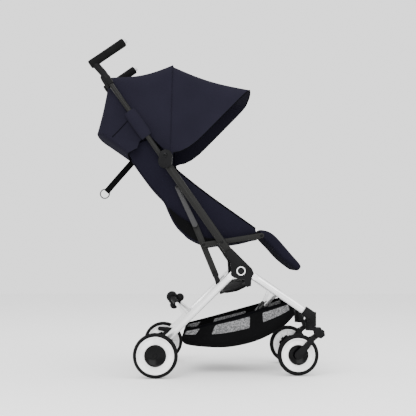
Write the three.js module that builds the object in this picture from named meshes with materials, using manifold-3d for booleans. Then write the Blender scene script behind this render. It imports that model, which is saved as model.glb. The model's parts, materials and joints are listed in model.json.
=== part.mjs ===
// Compact travel stroller with a three-dimensional fold, as an assembly of separate pieces.
// Units are millimetres. +X points forward, +Y to the stroller's left and +Z up, with the origin on the
// ground under the middle. Side pieces are modelled for the right side, where an "offset" is the distance
// outwards from the middle plane (Y = -offset), and are mirrored for the left side.

import * as THREE from "three";
import { mergeVertices } from "three/addons/utils/BufferGeometryUtils.js";
import Module from "manifold-3d";

const wasm = await Module();
wasm.setup();

// ---------- driving dimensions ----------

const GAP = 0.4; // air between pieces that touch

// Side view points [x, z]
const HUB = [104, 317]; // round cover on the hub casing
const MAIN_FOOT = [108, 317]; // where the main tube's axis starts
const MAIN_ANGLE = 125.1; // degrees above +X
const REAR_PIVOT = [84, 312]; // rear leg on the casing
const FRONT_PIVOT = [131, 309]; // front leg on the casing
const REAR_LEG_ANGLE = 224.4;
const FRONT_LEG_ANGLE = -34.4;
const FRONT_LEG_END = 210; // length of the front leg from its pivot
const REAR_AXLE = [-151, 67];
const FRONT_AXLE = [278, 63];
const SEAT_PIVOT = [47, 404]; // seat tube on the main tube
const SEAT_REAR = [-8.7, 396]; // strut on the seat tube
const SEAT_FRONT = [168, 424]; // leg rest pivot
const LINK_TOP = [-89, 571]; // upper link on the main tube
const STRUT_TOP = [-34, 455.5]; // upper link on the strut
const CANOPY_PIVOT = [-123, 664];
const CASTER_AXIS_X = 317;
const SUSPENSION_PIVOT = [341, 126];
const UNDER_PIVOT = [126, 280]; // under-seat bar on the casing
const UNDER_BAR_ANGLE = 198.8;

// Tubes and wheels
const MAIN_TUBE = { width: 24, depth: 18, start: 44, end: 425, bore: 8.4 };
const HANDLE_TUBE = { radius: 7.6, start: 310, end: 738 };
const LEG_TUBE = { width: 22, depth: 18 };
const REAR_WHEEL = { radius: 67, width: 30, offset: 235 };
const FRONT_WHEEL = { radius: 62.5, width: 28, offset: 172 };

// Layers: [inner offset, outer offset]
const TUBE_LAYER = [191, 209];
const CASING_INNER = [184.5, 189.5];
const CASING_OUTER = [210.5, 216];
const SEAT_TUBE_LAYER = [175, 184];
const LINK_LAYER = [175.5, 181];
const STRUT_LAYER = [161, 172];

// Half crossbars: each V has its side pivots at SIDE_PIVOT and its hub pivots at HUB_PIVOT from the middle
const CROSS = { sidePivot: 176.5, hubPivot: 16, depth: 80, eyeRadius: 7, eyeHalf: 7, barRadius: 6 };

// Soft goods
const CANOPY_HALF = 184;
const SEAT_HALF = 152;

// ---------- colours ----------

const LOOKS = {
  frame: { color: 0x26292b, roughness: 0.42, metalness: 0.6 },
  silver: { color: 0xc9ccce, roughness: 0.28, metalness: 0.95 },
  plastic: { color: 0x17181a, roughness: 0.55, metalness: 0 },
  grip: { color: 0x141416, roughness: 0.8, metalness: 0 },
  fabric: { color: 0x22232f, roughness: 0.9, metalness: 0 },
  mesh: { color: 0x2a2b2e, roughness: 0.9, metalness: 0 },
  tyre: { color: 0x131314, roughness: 0.85, metalness: 0 },
  rim: { color: 0xf0f0ee, roughness: 0.35, metalness: 0 },
  light: { color: 0xd8dadb, roughness: 0.35, metalness: 0.3 },
  chrome: { color: 0xe4e6e8, roughness: 0.12, metalness: 1 },
};

// ---------- small geometry helpers ----------

const radians = THREE.MathUtils.degToRad;
const vectorAt = (degrees) => [Math.cos(radians(degrees)), Math.sin(radians(degrees))];
const along = (point, direction, distance) => [
  point[0] + distance * direction[0],
  point[1] + distance * direction[1],
];
const MAIN_DIRECTION = vectorAt(MAIN_ANGLE);
const FRONT_NORMAL = vectorAt(MAIN_ANGLE - 90);
const REAR_LEG_DIRECTION = vectorAt(REAR_LEG_ANGLE);
const FRONT_LEG_DIRECTION = vectorAt(FRONT_LEG_ANGLE);

// A point measured along the main tube, and in front of it
const onMain = (distance, front = 0) =>
  along(along(MAIN_FOOT, MAIN_DIRECTION, distance), FRONT_NORMAL, front);

const plain = (geometry) => {
  const copy = geometry.clone();
  copy.deleteAttribute("normal");
  copy.deleteAttribute("uv");
  return mergeVertices(copy, 1e-4);
};

function toSolid(geometry) {
  const merged = plain(geometry);
  const mesh = new wasm.Mesh({
    numProp: 3,
    vertProperties: new Float32Array(merged.attributes.position.array),
    triVerts: new Uint32Array(merged.index.array),
  });
  return new wasm.Manifold(mesh);
}

function fromSolid(solid) {
  const mesh = solid.getMesh();
  const geometry = new THREE.BufferGeometry();
  geometry.setAttribute("position", new THREE.BufferAttribute(new Float32Array(mesh.vertProperties), 3));
  geometry.setIndex(new THREE.BufferAttribute(new Uint32Array(mesh.triVerts), 1));
  return geometry;
}

const join = (...geometries) =>
  fromSolid(geometries.map(toSolid).reduce((whole, solid) => whole.add(solid)));
const cut = (geometry, ...tools) =>
  fromSolid(tools.map(toSolid).reduce((whole, tool) => whole.subtract(tool), toSolid(geometry)));

const box = (x, y, z, sizeX, sizeY, sizeZ) =>
  new THREE.BoxGeometry(sizeX, sizeY, sizeZ).translate(x, y, z);

// A side-view outline extruded between two offsets
function plate(shape, inner, outer) {
  const settings = { depth: outer - inner, bevelEnabled: false, curveSegments: 5 };
  return new THREE.ExtrudeGeometry(shape, settings).translate(0, 0, inner).rotateX(Math.PI / 2);
}

const polygon = (points) => new THREE.Shape(points.map(([x, z]) => new THREE.Vector2(x, z)));

// A round disc on an axis across the stroller
const disc = (point, inner, outer, radius, segments = 14) =>
  new THREE.CylinderGeometry(radius, radius, outer - inner, segments).translate(
    point[0],
    -(inner + outer) / 2,
    point[1],
  );

// A bar outline with round ends, running between two side-view points
function barShape(a, b, widthA, widthB = widthA) {
  const angle = Math.atan2(b[1] - a[1], b[0] - a[0]);
  const shape = new THREE.Shape();
  shape.absarc(a[0], a[1], widthA / 2, angle + Math.PI / 2, angle + (3 * Math.PI) / 2, false);
  shape.absarc(b[0], b[1], widthB / 2, angle - Math.PI / 2, angle + Math.PI / 2, false);
  return shape;
}

const flatBar = (a, b, width, layer, endWidth = width) =>
  plate(barShape(a, b, width, endWidth), layer[0], layer[1]);

// Turns a geometry made along its own +Z, with its X in the side-view plane, to run along a
// side-view direction
function alongDirection(geometry, start, direction, offset) {
  const axisZ = new THREE.Vector3(direction[0], 0, direction[1]);
  const axisY = new THREE.Vector3(0, 1, 0);
  const axisX = new THREE.Vector3().crossVectors(axisY, axisZ);
  const turn = new THREE.Matrix4().makeBasis(axisX, axisY, axisZ);
  return geometry.applyMatrix4(turn).translate(start[0], -offset, start[1]);
}

// An oval tube or bar along a side-view direction; width lies in the side view, depth across
function ovalTube(start, direction, length, width, depth, bore = 0, offset = 200) {
  const shape = new THREE.Shape();
  shape.absellipse(0, 0, width / 2, depth / 2, 0, 2 * Math.PI, false, 0);
  if (bore > 0) {
    const hole = new THREE.Path();
    hole.absarc(0, 0, bore, 0, 2 * Math.PI, true);
    shape.holes.push(hole);
  }
  const settings = { depth: length, bevelEnabled: false, curveSegments: 7 };
  return alongDirection(new THREE.ExtrudeGeometry(shape, settings), start, direction, offset);
}

// A round rod between two points in space
function rod(from, to, radius, segments = 10) {
  const a = new THREE.Vector3(...from);
  const b = new THREE.Vector3(...to);
  const run = new THREE.Vector3().subVectors(b, a);
  const length = run.length();
  const turn = new THREE.Quaternion().setFromUnitVectors(new THREE.Vector3(0, 1, 0), run.normalize());
  return new THREE.CylinderGeometry(radius, radius, length, segments)
    .applyQuaternion(turn)
    .translate(...a.add(b).multiplyScalar(0.5).toArray());
}

// A body turned about an axis across the stroller; the profile holds [radius, offset] pairs, closed
function turned(profile, centre, segments) {
  const points = [...profile, profile[0]].map(([radius, offset]) => new THREE.Vector2(radius, -offset));
  return facingOut(new THREE.LatheGeometry(points, segments).translate(centre[0], 0, centre[1]));
}

function facingOut(geometry) {
  const merged = plain(geometry);
  const index = merged.index.array;
  const position = merged.attributes.position;
  const corner = [new THREE.Vector3(), new THREE.Vector3(), new THREE.Vector3()];
  let volume = 0;
  for (let i = 0; i < index.length; i += 3) {
    corner.forEach((vertex, k) => vertex.fromBufferAttribute(position, index[i + k]));
    volume += corner[0].dot(corner[1].clone().cross(corner[2]));
  }
  if (volume < 0) {
    for (let i = 0; i < index.length; i += 3) {
      [index[i + 1], index[i + 2]] = [index[i + 2], index[i + 1]];
    }
  }
  return merged;
}

// ---------- main frame of one side ----------

function mainTube() {
  const start = onMain(MAIN_TUBE.start);
  const length = MAIN_TUBE.end - MAIN_TUBE.start;
  return ovalTube(start, MAIN_DIRECTION, length, MAIN_TUBE.width, MAIN_TUBE.depth, MAIN_TUBE.bore);
}

function casingShape(reach) {
  const top = onMain(reach, 13);
  const back = onMain(reach, -13);
  const outline = [
    top,
    [137, 324],
    [143, 309],
    [136, 297],
    [134, 272],
    [119, 271],
    [112, 292],
    [84, 296],
    [74, 304],
    [74, 322],
    onMain(44, -13),
    back,
  ];
  return polygon(outline);
}

// Two plates with the leg knuckles between them, a core under the main tube's foot and ears for the
// crossbar. The inner plate is shorter, so that the strut bracket swings past it.
function hubCasing() {
  const plates = [plate(casingShape(28), ...CASING_INNER), plate(casingShape(74), ...CASING_OUTER)];
  const bridge = box(...spaceOnMain(30, 0), 12, 26, 12);
  const legPins = [REAR_PIVOT, FRONT_PIVOT].map((pivot) => disc(pivot, 187, 213, 3.6, 12));
  return join(...plates, bridge, ...legPins, ...crossEars(underFrame(), CASING_INNER[0] + 1));
}

const spaceOnMain = (distance, front) => {
  const point = onMain(distance, front);
  return [point[0], -200, point[1]];
};

// Round cover on the outer plate with a raised ring
function hubCover() {
  const face = CASING_OUTER[1] + GAP;
  const profile = [
    [0.01, face],
    [14, face],
    [14, face + 3],
    [11, face + 3.6],
    [10, face + 2.4],
    [0.01, face + 2.4],
  ];
  return turned(profile, HUB, 18);
}

// Collar at the top of the main tube that carries the canopy hoops
function canopyClamp() {
  const body = plate(barShape(onMain(405), CANOPY_PIVOT, 42, 40), 188, 216);
  const tube = ovalTube(onMain(360), MAIN_DIRECTION, 100, 25, 19, 0);
  const upperWay = ovalTube(onMain(420), MAIN_DIRECTION, 60, 17, 17, 0);
  const screw = disc(CANOPY_PIVOT, 215, 218, 6, 16);
  return join(cut(body, tube, upperWay), screw);
}

// ---------- telescopic handle ----------

const GRIP_ANGLE = 34.5;
const GRIP_LENGTH = 120;
const GRIP_START = [-349.4, 949];
const HANDLE_HEEL = onMain(HANDLE_TUBE.end + 8);

function handleTube() {
  const length = HANDLE_TUBE.end - HANDLE_TUBE.start;
  const size = 2 * HANDLE_TUBE.radius;
  return ovalTube(onMain(HANDLE_TUBE.start), MAIN_DIRECTION, length, size, size);
}

const gripPoint = (distance, lift = 0) =>
  along(along(GRIP_START, vectorAt(GRIP_ANGLE), distance), vectorAt(GRIP_ANGLE + 90), lift);

// Foam grip with a heel that sits on the tube, hollow at the tip for the button
function grip() {
  const bar = ovalTube(gripPoint(0), vectorAt(GRIP_ANGLE), GRIP_LENGTH, 27, 25);
  const heel = plate(barShape(HANDLE_HEEL, gripPoint(6), 27, 27), 188, 212);
  const tubeWay = ovalTube(onMain(700), MAIN_DIRECTION, 38 + GAP, 16, 16);
  const buttonWay = ovalTube(gripPoint(GRIP_LENGTH - 14), vectorAt(GRIP_ANGLE), 20, 17, 17);
  return cut(join(bar, heel), tubeWay, buttonWay);
}

const gripButton = () => ovalTube(gripPoint(GRIP_LENGTH - 8), vectorAt(GRIP_ANGLE), 15, 15.4, 15.4);

// ---------- half crossbars ----------

// The flat frame of a V: its side pivot, the direction towards the hub, and the pin direction
function crossFrame(pivot, degrees) {
  const direction = vectorAt(degrees);
  const pin = [direction[1], -direction[0]];
  const up = pin[1] < 0 ? [-pin[0], -pin[1]] : pin;
  return { pivot, direction, pin: up };
}

const underFrame = () => crossFrame(UNDER_PIVOT, UNDER_BAR_ANGLE);
const rearFrame = () => crossFrame(along(REAR_PIVOT, REAR_LEG_DIRECTION, 196), REAR_LEG_ANGLE - 90);
const frontFrame = () => crossFrame(along(FRONT_PIVOT, FRONT_LEG_DIRECTION, 104), FRONT_LEG_ANGLE - 90);

// A point in the V's frame: distance from the middle plane, depth towards the hub, height along the pin
function crossPoint(frame, offset, depth, height) {
  const flat = along(along(frame.pivot, frame.direction, depth), frame.pin, height);
  return [flat[0], -offset, flat[1]];
}

const crossRod = (frame, offset, depth, low, high, radius) =>
  rod(crossPoint(frame, offset, depth, low), crossPoint(frame, offset, depth, high), radius);

// One half bar: an eye at each end and the bar between them
function crossBar(frame) {
  const { sidePivot, hubPivot, depth, eyeRadius, eyeHalf, barRadius } = CROSS;
  const sideEye = crossRod(frame, sidePivot, 0, -eyeHalf, eyeHalf, eyeRadius);
  const hubEye = crossRod(frame, hubPivot, depth, -eyeHalf, eyeHalf, eyeRadius);
  const bar = rod(crossPoint(frame, sidePivot, 0, 0), crossPoint(frame, hubPivot, depth, 0), barRadius);
  const pinWays = [
    crossRod(frame, sidePivot, 0, -20, 20, 3.2),
    crossRod(frame, hubPivot, depth, -20, 20, 3.2),
  ];
  return cut(join(sideEye, hubEye, bar), ...pinWays);
}

// Ears above and below the side eye, with the pin, reaching out to the given offset
function crossEars(frame, reach) {
  const { sidePivot, eyeRadius, eyeHalf } = CROSS;
  const ears = [-1, 1].map((side) => {
    const middle = side * (eyeHalf + GAP + 2);
    const ear = new THREE.BoxGeometry(2 * eyeRadius, reach - sidePivot + eyeRadius, 4);
    const centre = (reach + sidePivot - eyeRadius) / 2;
    const flat = along(frame.pivot, frame.pin, middle);
    const angle = Math.atan2(frame.direction[1], frame.direction[0]);
    return ear.rotateY(-angle).translate(flat[0], -centre, flat[1]);
  });
  const reachHeight = eyeHalf + GAP + 3;
  return [...ears, crossRod(frame, sidePivot, 0, -reachHeight, reachHeight, 2.8)];
}

// Middle piece: two cheeks over both hub eyes, joined by a block between them and by the pins
function crossHub(frame) {
  const { hubPivot, depth, eyeHalf } = CROSS;
  const inner = eyeHalf + GAP;
  const pieces = [-1, 1].flatMap((side) =>
    [-1, 1].map((level) =>
      crossRod(frame, side * hubPivot, depth, level * inner, level * (inner + 5), 11),
    ),
  );
  const angle = Math.atan2(frame.direction[1], frame.direction[0]);
  const block = new THREE.BoxGeometry(18, 2 * (hubPivot - CROSS.eyeRadius - 1), 2 * (inner + 5))
    .rotateY(-angle)
    .translate(...crossPoint(frame, 0, depth, 0));
  const pins = [-1, 1].map((side) => crossRod(frame, side * hubPivot, depth, -inner - 1, inner + 1, 2.8));
  return join(block, ...pieces, ...pins);
}

// ---------- legs ----------

// A silver leg tube with a flat knuckle on its pivot and the ears of its crossbar
function leg(pivot, direction, start, end, frame) {
  const tubeStart = along(pivot, direction, start);
  const tube = ovalTube(tubeStart, direction, end - start, LEG_TUBE.width, LEG_TUBE.depth);
  const knuckle = flatBar(pivot, along(pivot, direction, start + 6), 18, TUBE_LAYER);
  const pivotWay = disc(pivot, 185, 215, 4, 12);
  return cut(join(tube, knuckle, ...crossEars(frame, 194)), pivotWay);
}

const rearLeg = () => leg(REAR_PIVOT, REAR_LEG_DIRECTION, 14, 318, rearFrame());
const frontLeg = () => leg(FRONT_PIVOT, FRONT_LEG_DIRECTION, 14, FRONT_LEG_END, frontFrame());

// Shoe on the rear leg's end that carries the wheel's axle stub
function rearBracket() {
  const end = along(REAR_PIVOT, REAR_LEG_DIRECTION, 300);
  const shoe = plate(barShape(end, REAR_AXLE, 30, 34), 188, 214);
  const legWay = ovalTube(along(REAR_PIVOT, REAR_LEG_DIRECTION, 270), REAR_LEG_DIRECTION, 49, 23, 19);
  const stub = disc(REAR_AXLE, 213, 248, 5.5, 16);
  return join(cut(shoe, legWay), stub);
}

// Bracket on the rear leg for the lower end of the seat strut
function strutBracket() {
  const strutFoot = strutFootPoint();
  return plate(barShape(strutFoot, along(REAR_PIVOT, REAR_LEG_DIRECTION, 62), 15, 15), 185, 189.6);
}

// ---------- front caster ----------

// Housing on the front leg's end with the upright bearing bore
function frontHousing() {
  const sleeveStart = along(FRONT_PIVOT, FRONT_LEG_DIRECTION, FRONT_LEG_END - 14);
  const wayStart = along(FRONT_PIVOT, FRONT_LEG_DIRECTION, FRONT_LEG_END - 42);
  const sleeve = ovalTube(sleeveStart, FRONT_LEG_DIRECTION, 36, 30, 25);
  const legWay = ovalTube(wayStart, FRONT_LEG_DIRECTION, 43, 23, 19);
  const barrel = rod([CASTER_AXIS_X, -172, 150], [CASTER_AXIS_X, -172, 192], 17, 20);
  const web = box(CASTER_AXIS_X, -188, 177, 24, 30, 26);
  const bearingWay = rod([CASTER_AXIS_X, -172, 140], [CASTER_AXIS_X, -172, 184], 7, 16);
  return cut(join(cut(sleeve, legWay), barrel, web), bearingWay);
}

// Yoke that swivels under the housing, with two cheeks around the suspension arm's pivot
function swivelYoke() {
  const post = rod([CASTER_AXIS_X, -172, 138], [CASTER_AXIS_X, -172, 183], 6.5, 16);
  const head = rod([CASTER_AXIS_X, -172, 137], [CASTER_AXIS_X, -172, 149.5], 16, 20);
  const nose = box(330, -172, 141, 34, 34, 9);
  const cheek = [[340, 145], [356, 137], [358, 122], [346, 113], [331, 118], [325, 137], [326, 145]];
  const cheeks = [
    plate(polygon(cheek), 151, 156),
    plate(polygon(cheek), 188, 193),
  ];
  const pivotPin = disc(SUSPENSION_PIVOT, 152, 192, 3, 12);
  const bridge = box(336, -172, 142, 18, 42, 7);
  return join(post, head, nose, bridge, ...cheeks, pivotPin);
}

// Two arms from the pivot back to the axle, outside the wheel, with the axle between them
function suspensionArm() {
  const armLayers = [[151, 155.6], [188.4, 193]];
  const wheelArms = armLayers.map((layer) =>
    flatBar(along(SUSPENSION_PIVOT, [-0.8, -0.6], 28), FRONT_AXLE, 16, layer, 24),
  );
  const tongue = flatBar(SUSPENSION_PIVOT, along(SUSPENSION_PIVOT, [-0.8, -0.6], 22), 14, [157, 187]);
  const yoke = disc(along(SUSPENSION_PIVOT, [-0.8, -0.6], 22), 151, 193, 6.5, 16);
  const axle = disc(FRONT_AXLE, 152, 192, 5, 16);
  const wheelWay = disc(FRONT_AXLE, 156, 188, FRONT_WHEEL.radius + 2, 28);
  const pivotWay = disc(SUSPENSION_PIVOT, 145, 195, 3.4, 12);
  return join(cut(join(...wheelArms, tongue, yoke), wheelWay, pivotWay), axle);
}

// ---------- wheels ----------

// Tyre with a rounded tread; the rim sits inside it
function tyre(wheel, centre) {
  const half = wheel.width / 2;
  const rimRadius = wheel.radius * 0.8;
  const profile = [[rimRadius, wheel.offset - half + 3], [rimRadius, wheel.offset + half - 3]];
  const steps = 4;
  for (let i = 0; i <= steps; i += 1) {
    const angle = (Math.PI * i) / steps - Math.PI / 2;
    const crown = wheel.radius - 9 + 9 * Math.cos(angle);
    profile.push([crown, wheel.offset - half * Math.sin(angle)]);
  }
  return turned(profile, centre, 28);
}

// Disc rim with a hub cap on its outer face and a bore for the axle
function rim(wheel, centre, bore, inset) {
  const half = wheel.width / 2 - 4;
  const edge = wheel.radius * 0.8 - GAP;
  const hub = wheel.radius * 0.46;
  const inner = wheel.offset - half;
  const outer = wheel.offset + half;
  const profile = [
    [bore, inner - inset],
    [bore, outer],
    [hub, outer],
    [hub + 2, outer - 4],
    [edge, outer - 4],
    [edge, inner + 5],
    [hub, inner + 5],
    [hub - 3, inner - inset],
  ];
  return turned(profile, centre, 28);
}

// ---------- seat linkage ----------

// The strut, the casing, the seat tube and the rear leg make a parallelogram
const strutFootPoint = () => [
  REAR_PIVOT[0] + SEAT_REAR[0] - SEAT_PIVOT[0],
  REAR_PIVOT[1] + SEAT_REAR[1] - SEAT_PIVOT[1],
];

function seatTube() {
  const run = flatBar(SEAT_REAR, SEAT_FRONT, 16, SEAT_TUBE_LAYER);
  const seatPin = disc(SEAT_PIVOT, 180, 190.2, 4, 12);
  const strutWay = disc(SEAT_REAR, 170, 190, 3.4, 12);
  return cut(join(run, seatPin), strutWay);
}

function strut() {
  const foot = strutFootPoint();
  const bar = flatBar(foot, STRUT_TOP, 19, STRUT_LAYER);
  const footWay = disc(foot, 155, 175, 3.4, 12);
  const seatPin = disc(SEAT_REAR, 170, 183, 3, 12);
  return join(cut(bar, footWay), seatPin);
}

function upperLink() {
  const bar = flatBar(LINK_TOP, along(STRUT_TOP, [-0.43, 0.9], 3), 13, LINK_LAYER, 17);
  const pin = disc(LINK_TOP, 179, 190.2, 4, 12);
  return join(bar, pin);
}

// ---------- soft goods and small pieces in the middle ----------

const across = (shape, half) => plate(shape, -half, half);

// A folded strip along side-view points, of even thickness, as wide as the stroller's inside
function strip(points, thickness, half) {
  const outer = points.map(([x, z]) => new THREE.Vector2(x, z));
  const shift = (a, b, size) => {
    const run = new THREE.Vector2().subVectors(b, a).normalize();
    return new THREE.Vector2(-run.y, run.x).multiplyScalar(size);
  };
  const inner = outer.map((point, i) => {
    const before = outer[Math.max(i - 1, 0)];
    const after = outer[Math.min(i + 1, outer.length - 1)];
    return point.clone().add(shift(before, after, thickness));
  });
  return across(new THREE.Shape([...outer, ...inner.reverse()]), half);
}

const sidePanels = (points, half, thickness) =>
  [-1, 1].map((side) => {
    const low = side > 0 ? half - thickness : -half;
    return plate(polygon(points), low, low + thickness);
  });

const CANOPY_REAR_OUTLINE = [[-252, 680], [-345, 744], [-306, 925], [-218, 948], [-132, 962]];
const CANOPY_FRONT_OUTLINE = [[-120, 963], [-20, 934], [62, 908], [138, 878]];

function canopyRear() {
  const roof = strip([...CANOPY_REAR_OUTLINE].reverse(), 5, CANOPY_HALF);
  const sides = sidePanels([...CANOPY_REAR_OUTLINE, [-142, 700], [-190, 676]], CANOPY_HALF, 4);
  return join(roof, ...sides);
}

// The front panel is a little narrower, so that it folds back inside the rear one
function canopyFront() {
  const half = CANOPY_HALF - 5;
  const roof = strip([...CANOPY_FRONT_OUTLINE].reverse(), 5, half);
  const sides = sidePanels([...CANOPY_FRONT_OUTLINE, [0, 738], [-62, 674], [-112, 690]], half, 4);
  return join(roof, ...sides);
}

// Backrest slab
function seatBack() {
  const rear = [[-236, 662], [-172, 577], [-118, 497], [-62, 424]];
  const front = [[-44, 432], [-98, 505], [-152, 588], [-214, 672]];
  return across(polygon([...rear, ...front]), SEAT_HALF);
}

// Seat cushion with its two side wings
function seatBase() {
  const under = [[-36, 412], [20, 400], [120, 408], [152, 420]];
  const top = [[150, 440], [60, 428], [-34, 426]];
  const cushion = across(polygon([...under, ...top]), SEAT_HALF);
  const wingEdge = [[-180, 640], [-104, 640], [-50, 593], [26, 535], [88, 491], [150, 445]];
  const wing = [...wingEdge, [150, 424], [-30, 420]];
  return join(cushion, ...sidePanels(wing, SEAT_HALF, 5));
}

// Padded flap that hangs from the front of the seat
function legRest() {
  const top = [[176, 436], [200, 436], [218, 424], [260, 370], [294, 324]];
  const under = [[284, 316], [246, 344], [204, 384], [180, 410]];
  return across(polygon([...top, ...under]), 140);
}

// Open basket: floor and four walls
function basket() {
  const under = [[-66, 133], [-80, 104], [-66, 88], [0, 80], [60, 80], [121, 90], [175, 108], [240, 143]];
  const inside = [[-60, 150], [-73, 104], [-62, 94], [0, 86], [60, 86], [119, 96], [172, 114], [236, 149]];
  const outer = across(polygon([...under, [276, 180], [256, 218]]), 150);
  return cut(outer, across(polygon([...inside, [268, 182], [246, 236]]), 144));
}

const STRAP_TOP = [-247, 661];
const STRAP_END = [-320, 577];
const STRAP_SLOPE = Math.atan2(STRAP_END[1] - STRAP_TOP[1], STRAP_END[0] - STRAP_TOP[0]);
const STRAP_RUN = [Math.cos(STRAP_SLOPE), Math.sin(STRAP_SLOPE)];
const LOOP_CENTRE = along(STRAP_END, STRAP_RUN, 4);

// A point at the strap's end, at a depth along the strap and to one side of its middle line
function atLoop(depth, side) {
  const [x, z] = along(along(LOOP_CENTRE, STRAP_RUN, depth), [STRAP_RUN[1], -STRAP_RUN[0]], side);
  return [x, 0, z];
}

// Webbing with its flat face to the side, and a hollow loop for the ring at its end
function recliningStrap() {
  const band = across(barShape(STRAP_TOP, along(STRAP_END, STRAP_RUN, -6), 20), 1.5);
  const loop = rod(atLoop(0, -10), atLoop(0, 10), 5, 16);
  return cut(join(band, loop), rod(atLoop(0, -16), atLoop(0, 16), 2.6, 12));
}

// Chrome ring that hangs in the strap's loop, in the strap's own plane
function dRing() {
  const corners = [[0, -13], [0, 0], [0, 13], [12, 14], [22, 8], [25, 0], [22, -8], [12, -14]];
  const points = corners.map(([depth, side]) => new THREE.Vector3(...atLoop(depth, side)));
  const route = new THREE.CatmullRomCurve3(points, true, "centripetal");
  const section = new THREE.Shape();
  section.absarc(0, 0, 1.6, 0, 2 * Math.PI);
  const ring = new THREE.ExtrudeGeometry(section, { steps: 20, extrudePath: route, curveSegments: 3 });
  return facingOut(ring);
}

// Brake pedal beside the right rear leg, on the leg's inner face
const PEDAL_PIVOT = along(REAR_PIVOT, REAR_LEG_DIRECTION, 250);

function brakePedal() {
  const treadEnd = along(PEDAL_PIVOT, [-1, 0.12], 46);
  const lever = flatBar(PEDAL_PIVOT, treadEnd, 14, [170, 189], 12);
  return join(lever, disc(PEDAL_PIVOT, 165, 189.4, 10, 18));
}

// ---------- assembly ----------

function piece(name, geometry, look) {
  const material = new THREE.MeshStandardMaterial(LOOKS[look]);
  const mesh = new THREE.Mesh(geometry, material);
  mesh.name = name;
  return mesh;
}

const SIDE_PIECES = [
  ["main_tube", mainTube, "frame"],
  ["hub_casing", hubCasing, "plastic"],
  ["hub_cover", hubCover, "light"],
  ["canopy_clamp", canopyClamp, "plastic"],
  ["handle_tube", handleTube, "frame"],
  ["grip", grip, "grip"],
  ["grip_button", gripButton, "light"],
  ["rear_leg", rearLeg, "silver"],
  ["rear_bracket", rearBracket, "plastic"],
  ["strut_bracket", strutBracket, "plastic"],
  ["rear_tyre", () => tyre(REAR_WHEEL, REAR_AXLE), "tyre"],
  ["rear_rim", () => rim(REAR_WHEEL, REAR_AXLE, 5.9, 3), "rim"],
  ["front_leg", frontLeg, "silver"],
  ["front_housing", frontHousing, "plastic"],
  ["swivel_yoke", swivelYoke, "plastic"],
  ["suspension_arm", suspensionArm, "plastic"],
  ["front_tyre", () => tyre(FRONT_WHEEL, FRONT_AXLE), "tyre"],
  ["front_rim", () => rim(FRONT_WHEEL, FRONT_AXLE, 5.4, 0), "rim"],
  ["seat_tube", seatTube, "frame"],
  ["strut", strut, "frame"],
  ["upper_link", upperLink, "light"],
  ["rear_bar", () => crossBar(rearFrame()), "silver"],
  ["front_bar", () => crossBar(frontFrame()), "silver"],
  ["under_bar", () => crossBar(underFrame()), "plastic"],
];

const MIDDLE_PIECES = [
  ["rear_hub", () => crossHub(rearFrame()), "plastic"],
  ["front_hub", () => crossHub(frontFrame()), "plastic"],
  ["under_hub", () => crossHub(underFrame()), "plastic"],
  ["canopy_rear", canopyRear, "fabric"],
  ["canopy_front", canopyFront, "fabric"],
  ["seat_back", seatBack, "fabric"],
  ["seat_base", seatBase, "fabric"],
  ["leg_rest", legRest, "fabric"],
  ["basket", basket, "mesh"],
  ["recline_strap", recliningStrap, "fabric"],
  ["d_ring", dRing, "chrome"],
  ["brake_pedal", brakePedal, "plastic"],
];

const stroller = new THREE.Group();
for (const [name, make, look] of MIDDLE_PIECES) {
  stroller.add(piece(name, make(), look));
}
for (const side of ["right", "left"]) {
  const half = new THREE.Group();
  half.scale.y = side === "left" ? -1 : 1;
  for (const [name, make, look] of SIDE_PIECES) {
    half.add(piece(`${name}_${side}`, make(), look));
  }
  stroller.add(half);
}

export default stroller;
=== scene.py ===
"""Looks of the travel stroller: fabric, wheels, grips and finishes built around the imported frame."""

import json
import math

import bmesh
import bpy
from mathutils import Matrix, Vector


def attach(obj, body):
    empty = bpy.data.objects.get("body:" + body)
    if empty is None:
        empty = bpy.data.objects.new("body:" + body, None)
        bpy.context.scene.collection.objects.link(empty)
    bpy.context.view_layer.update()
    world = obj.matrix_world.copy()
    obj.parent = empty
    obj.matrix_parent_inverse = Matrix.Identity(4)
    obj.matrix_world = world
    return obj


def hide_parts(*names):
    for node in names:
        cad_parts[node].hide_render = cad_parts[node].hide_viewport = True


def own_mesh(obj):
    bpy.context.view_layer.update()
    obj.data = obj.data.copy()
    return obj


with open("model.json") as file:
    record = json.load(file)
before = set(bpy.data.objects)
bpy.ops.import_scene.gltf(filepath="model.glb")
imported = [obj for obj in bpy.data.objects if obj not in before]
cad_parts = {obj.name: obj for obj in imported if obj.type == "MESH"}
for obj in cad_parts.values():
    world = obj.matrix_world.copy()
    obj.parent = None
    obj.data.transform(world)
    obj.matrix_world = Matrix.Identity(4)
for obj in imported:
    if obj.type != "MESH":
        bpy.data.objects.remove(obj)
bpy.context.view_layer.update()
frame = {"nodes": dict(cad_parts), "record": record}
MM = 0.001
SIDES = {"right": -1, "left": 1}

# ---------- places taken over from the frame's design, side view [x, z] in millimetres ----------

MAIN_FOOT = Vector((108, 317))
MAIN_ANGLE = math.radians(125.1)
MAIN_DIRECTION = Vector((math.cos(MAIN_ANGLE), math.sin(MAIN_ANGLE)))
FRONT_NORMAL = Vector((math.sin(MAIN_ANGLE), -math.cos(MAIN_ANGLE)))
TUBE_OFFSET = 200
GRIP_ANGLE = math.radians(34.5)
GRIP_START = Vector((-349.4, 949))
HUB = Vector((104, 317))
CANOPY_PIVOT = Vector((-123, 664))
REAR_WHEEL = {"seat": 0.84, "radius": 67, "width": 30, "offset": 235, "centre": Vector((-151, 67))}
FRONT_WHEEL = {"seat": 0.81, "radius": 62.5, "width": 28, "offset": 172, "centre": Vector((278, 63))}


def on_main(distance, front=0):
    """A side-view point measured along the main tube, and in front of it."""
    return MAIN_FOOT + MAIN_DIRECTION * distance + FRONT_NORMAL * front


def place(point, offset):
    """A side-view point at a distance from the middle plane (right is negative), in metres."""
    return Vector((point[0], offset, point[1])) * MM


def side_line(*points):
    """A line of side-view points."""
    return [Vector(point) for point in points]


def lerp(a, b, part):
    return a + (b - a) * part


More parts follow.
